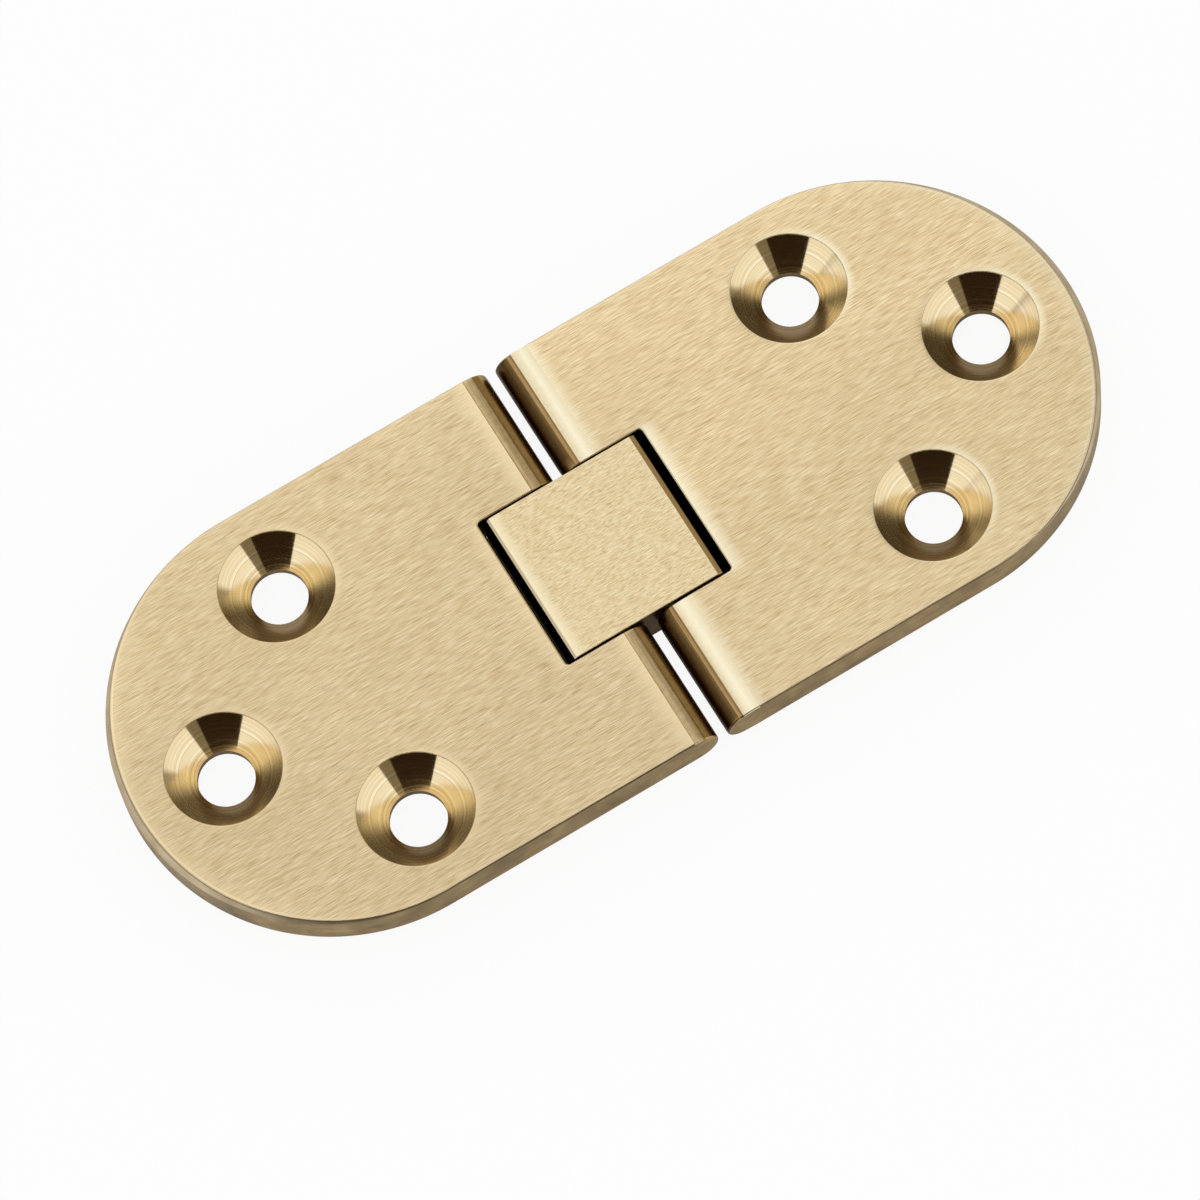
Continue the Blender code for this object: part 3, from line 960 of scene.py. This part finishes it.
def grained_brass(name):
    """The link's face: a brighter brass with a coarser brushing, and a painted highlight at its ends.

    The chamfer at its crisp end is painted brown: painted shade.
    """
    material, tree, shader, place = new_metal(name)
    strokes = streaks(tree, place, (1500, 27000, 1500), turn=2, detail=1)
    grain = streaks(tree, place, (2800, 20000, 2800), detail=1)
    specks = streaks(tree, place, (1900, 18000, 1900), detail=1)
    both = weighed(tree, strokes, grain, share=0.7)
    satin = tones(tree, both, LINK_TONES, half_range=0.17)
    speckled = laid_over(tree, satin, specks, **LINK_SPECKS)
    x = part(tree, place, "X")
    # Painted highlight at both ends of the link's face
    worn = spread(tree, x, WORN_END_HIGHLIGHT_FROM_X, WORN_END_HIGHLIGHT_FULL_X)
    crisp = spread(tree, x, CRISP_END_HIGHLIGHT_FROM_X, CRISP_END_HIGHLIGHT_FULL_X, 0.0, CRISP_END_HIGHLIGHT)
    highlighted = blend(tree, maths(tree, "MAXIMUM", worn, crisp), speckled, LINK_HIGHLIGHT)
    # Painted shade on the chamfer at the crisp end
    on_chamfer = maths(tree, "GREATER_THAN", x, LINK_FACE_END_X)
    colour = blend(tree, on_chamfer, highlighted, LINK_CHAMFER_SHADE)
    dress(tree, shader, colour, grain, both, **GRAINED)
    spread_across(tree, shader, ACROSS_STROKES, amount=0.8)
    return material


def drawn_steel(name):
    """Bright drawn pin, with fine lines along it."""
    material, tree, shader, place = new_metal(name)
    lines = streaks(tree, place, (7000, 300, 7000), detail=2)
    dress(tree, shader, tones(tree, lines, STEEL_TONES, half_range=0.2), lines, lines, **DRAWN)
    return material


# Studio


def by_ray(tree, camera, glossy):
    """How much of a surface is its own white, seen by the camera and seen in metal."""
    light = node(tree, "LightPath")
    mirrored = maths(tree, "MAXIMUM", light.outputs["Is Glossy Ray"], light.outputs["Is Transmission Ray"])
    seen = maths(tree, "MULTIPLY", light.outputs["Is Camera Ray"], camera)
    return maths(tree, "MAXIMUM", seen, maths(tree, "MULTIPLY", mirrored, glossy))


def stage_object(name, mesh):
    """An object of the studio, and the empty node tree of its material."""
    obj = bpy.data.objects.new(name, mesh)
    bpy.context.scene.collection.objects.link(obj)
    material = bpy.data.materials.new(name)
    material.use_nodes = True
    material.node_tree.nodes.clear()
    mesh.materials.append(material)
    return obj, material.node_tree


def make_floor():
    mesh = bpy.data.meshes.new("floor")
    corners = [(x * FLOOR_REACH, y * FLOOR_REACH, 0) for x, y in ((-1, -1), (1, -1), (1, 1), (-1, 1))]
    mesh.from_pydata(corners, [], [(0, 1, 2, 3)])
    floor, tree = stage_object("floor", mesh)
    lit = node(tree, "BsdfDiffuse", {"Color": FLOOR_COLOUR}).outputs[0]
    white = node(tree, "Emission", {"Color": WHITE, "Strength": 1.0}).outputs[0]
    share = by_ray(tree, FLOOR_SEEN_WHITE, FLOOR_MIRRORED_WHITE)
    mixed = node(tree, "MixShader", {0: share, 1: lit, 2: white}).outputs[0]
    node(tree, "OutputMaterial", {"Surface": mixed})


def make_world():
    world = bpy.data.worlds.new("studio")
    world.use_nodes = True
    bpy.context.scene.world = world
    tree = world.node_tree
    tree.nodes.clear()
    white = node(tree, "Background", {"Color": WHITE, "Strength": 1.0}).outputs[0]
    room = node(tree, "Background", {"Color": WHITE, "Strength": ROOM_LIGHT}).outputs[0]
    mixed = node(tree, "MixShader", {0: by_ray(tree, 1.0, 1.0), 1: room, 2: white}).outputs[0]
    node(tree, "OutputWorld", {"Surface": mixed})


def make_card(name, azimuths, elevations, colour, soft_sides=0.0, soft_top=0.0):
    """A cloth that only the metal sees, which covers part of the studio's dome."""
    shape = bmesh.new()
    rows = []
    covers = []
    for i in range(CARD_STEPS + 1):
        elevation = elevations[0] + (elevations[1] - elevations[0]) * i / CARD_STEPS
        e = math.radians(elevation)
        row = []
        for k in range(CARD_STEPS + 1):
            azimuth = azimuths[0] + (azimuths[1] - azimuths[0]) * k / CARD_STEPS
            a = math.radians(azimuth)
            out = Vector((math.cos(a) * math.cos(e), math.sin(a) * math.cos(e), math.sin(e)))
            row.append(out * CARD_DISTANCE)
            cover = 1.0
            if soft_sides:
                from_side = min(azimuth - azimuths[0], azimuths[1] - azimuth)
                cover = min(cover, from_side / soft_sides)
            if soft_top:
                cover = min(cover, (elevations[1] - elevation) / soft_top)
            covers.append(cover)
        rows.append(row)
    strip(shape, rows, 0)
    mesh = bpy.data.meshes.new(name)
    shape.to_mesh(mesh)
    shape.free()
    mesh.attributes.new("cover", "FLOAT", "POINT").data.foreach_set("value", covers)
    card, tree = stage_object(name, mesh)
    cloth = node(tree, "Emission", {"Color": (*colour, 1), "Strength": 1.0}).outputs[0]
    clear = node(tree, "BsdfTransparent").outputs[0]
    cover = node(tree, "Attribute", attribute_name="cover").outputs["Fac"]
    hung = node(tree, "MixShader", {0: cover, 1: clear, 2: cloth}).outputs[0]
    node(tree, "OutputMaterial", {"Surface": hung})
    card.visible_camera = False
    card.visible_shadow = False
    card.visible_diffuse = False


def make_camera():
    level = math.cos(CAMERA_ELEVATION)
    sideways, forward = level * math.cos(CAMERA_AZIMUTH), level * math.sin(CAMERA_AZIMUTH)
    direction = Vector((sideways, forward, math.sin(CAMERA_ELEVATION)))
    data = bpy.data.cameras.new("camera")
    data.lens = CAMERA_LENS
    data.sensor_width = CAMERA_SENSOR
    data.clip_start, data.clip_end = CAMERA_CLIP
    camera = bpy.data.objects.new("camera", data)
    bpy.context.scene.collection.objects.link(camera)
    camera.rotation_mode = "QUATERNION"
    camera.location = AIM + direction * CAMERA_DISTANCE
    right = (-direction).cross(Vector((0, 0, 1))).normalized()
    up = right.cross(-direction)
    across = right * math.cos(CAMERA_ROLL) + up * math.sin(CAMERA_ROLL)
    upward = up * math.cos(CAMERA_ROLL) - right * math.sin(CAMERA_ROLL)
    camera.rotation_quaternion = Matrix((across, upward, direction)).transposed().to_quaternion()
    bpy.context.scene.camera = camera


# The hinge


def main():
    # Near black: painted shade for the slot walls, the bores and the link's ends, in the gaps between
    # parts
    slot = ground_brass("slot_shade_brass", SLOT_SHADE_TONES)
    # Darker than the face: a duller ground surface, partly painted shade
    wall = ground_brass("wall_brass_with_shade", WALL_TONES_WITH_SHADE, LEVEL_MARKS)
    bevel = ground_brass("bevel_brass", BEVEL_TONES, LEVEL_MARKS)
    link_wall = ground_brass("link_wall_brass", LINK_WALL_TONES)
    hole = ground_brass("hole_brass", HOLE_TONES)
    under = ground_brass("underside_brass", UNDERSIDE_TONES, UNDERSIDE_MARKS, blotched=0.15)
    left = [
        brushed_brass("face_brass_left", -1, LEFT_TARNISH_AND_LIGHT),
        nose_brass("nose_brass_left", LEFT_TARNISH_AND_LIGHT),
        wall,
        slot,
        turned_brass("turned_brass_left", -1),
        hole,
        under,
        bevel,
    ]
    right = [
        brushed_brass("face_brass_right", 1, RIGHT_TARNISH_AND_LIGHT),
        nose_brass("nose_brass_right", RIGHT_TARNISH_AND_LIGHT),
        wall,
        slot,
        turned_brass("turned_brass_right", 1),
        hole,
        under,
        bevel,
    ]
    steel = drawn_steel("pin_steel")
    left_leaf = make_leaf("hinge_leaf_left", turn=-1, bore_mouth=-1, worn=False, materials=left)
    right_leaf = make_leaf("hinge_leaf_right", turn=1, bore_mouth=1, worn=True, materials=right)
    # The link's ends take the slot's near-black painted shade
    link = make_link("hinge_link", [grained_brass("grained_brass"), slot, link_wall])
    left_pin = make_pin("hinge_pin_left", -PIN_X, [steel])
    right_pin = make_pin("hinge_pin_right", PIN_X, [steel])

    # Each piece, with the CAD's node that it replaces, its body and its material slot
    pieces = [
        (left_leaf, "leaf_left", "left_leaf", "leaf_brass"),
        (right_leaf, "leaf_right", "right_leaf", "leaf_brass"),
        (link, "link", "link", "link_brass"),
        (left_pin, "pin_left", "left_leaf", "pin_steel"),
        (right_pin, "pin_right", "right_leaf", "pin_steel"),
    ]
    for piece, node_name, body, slot_name in pieces:
        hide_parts(node_name)
        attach(piece, body)

    make_floor()
    make_world()
    for name, card in CARDS.items():
        make_card(name, **card)
    make_camera()
    bpy.context.scene.view_settings.view_transform = "Standard"


main()
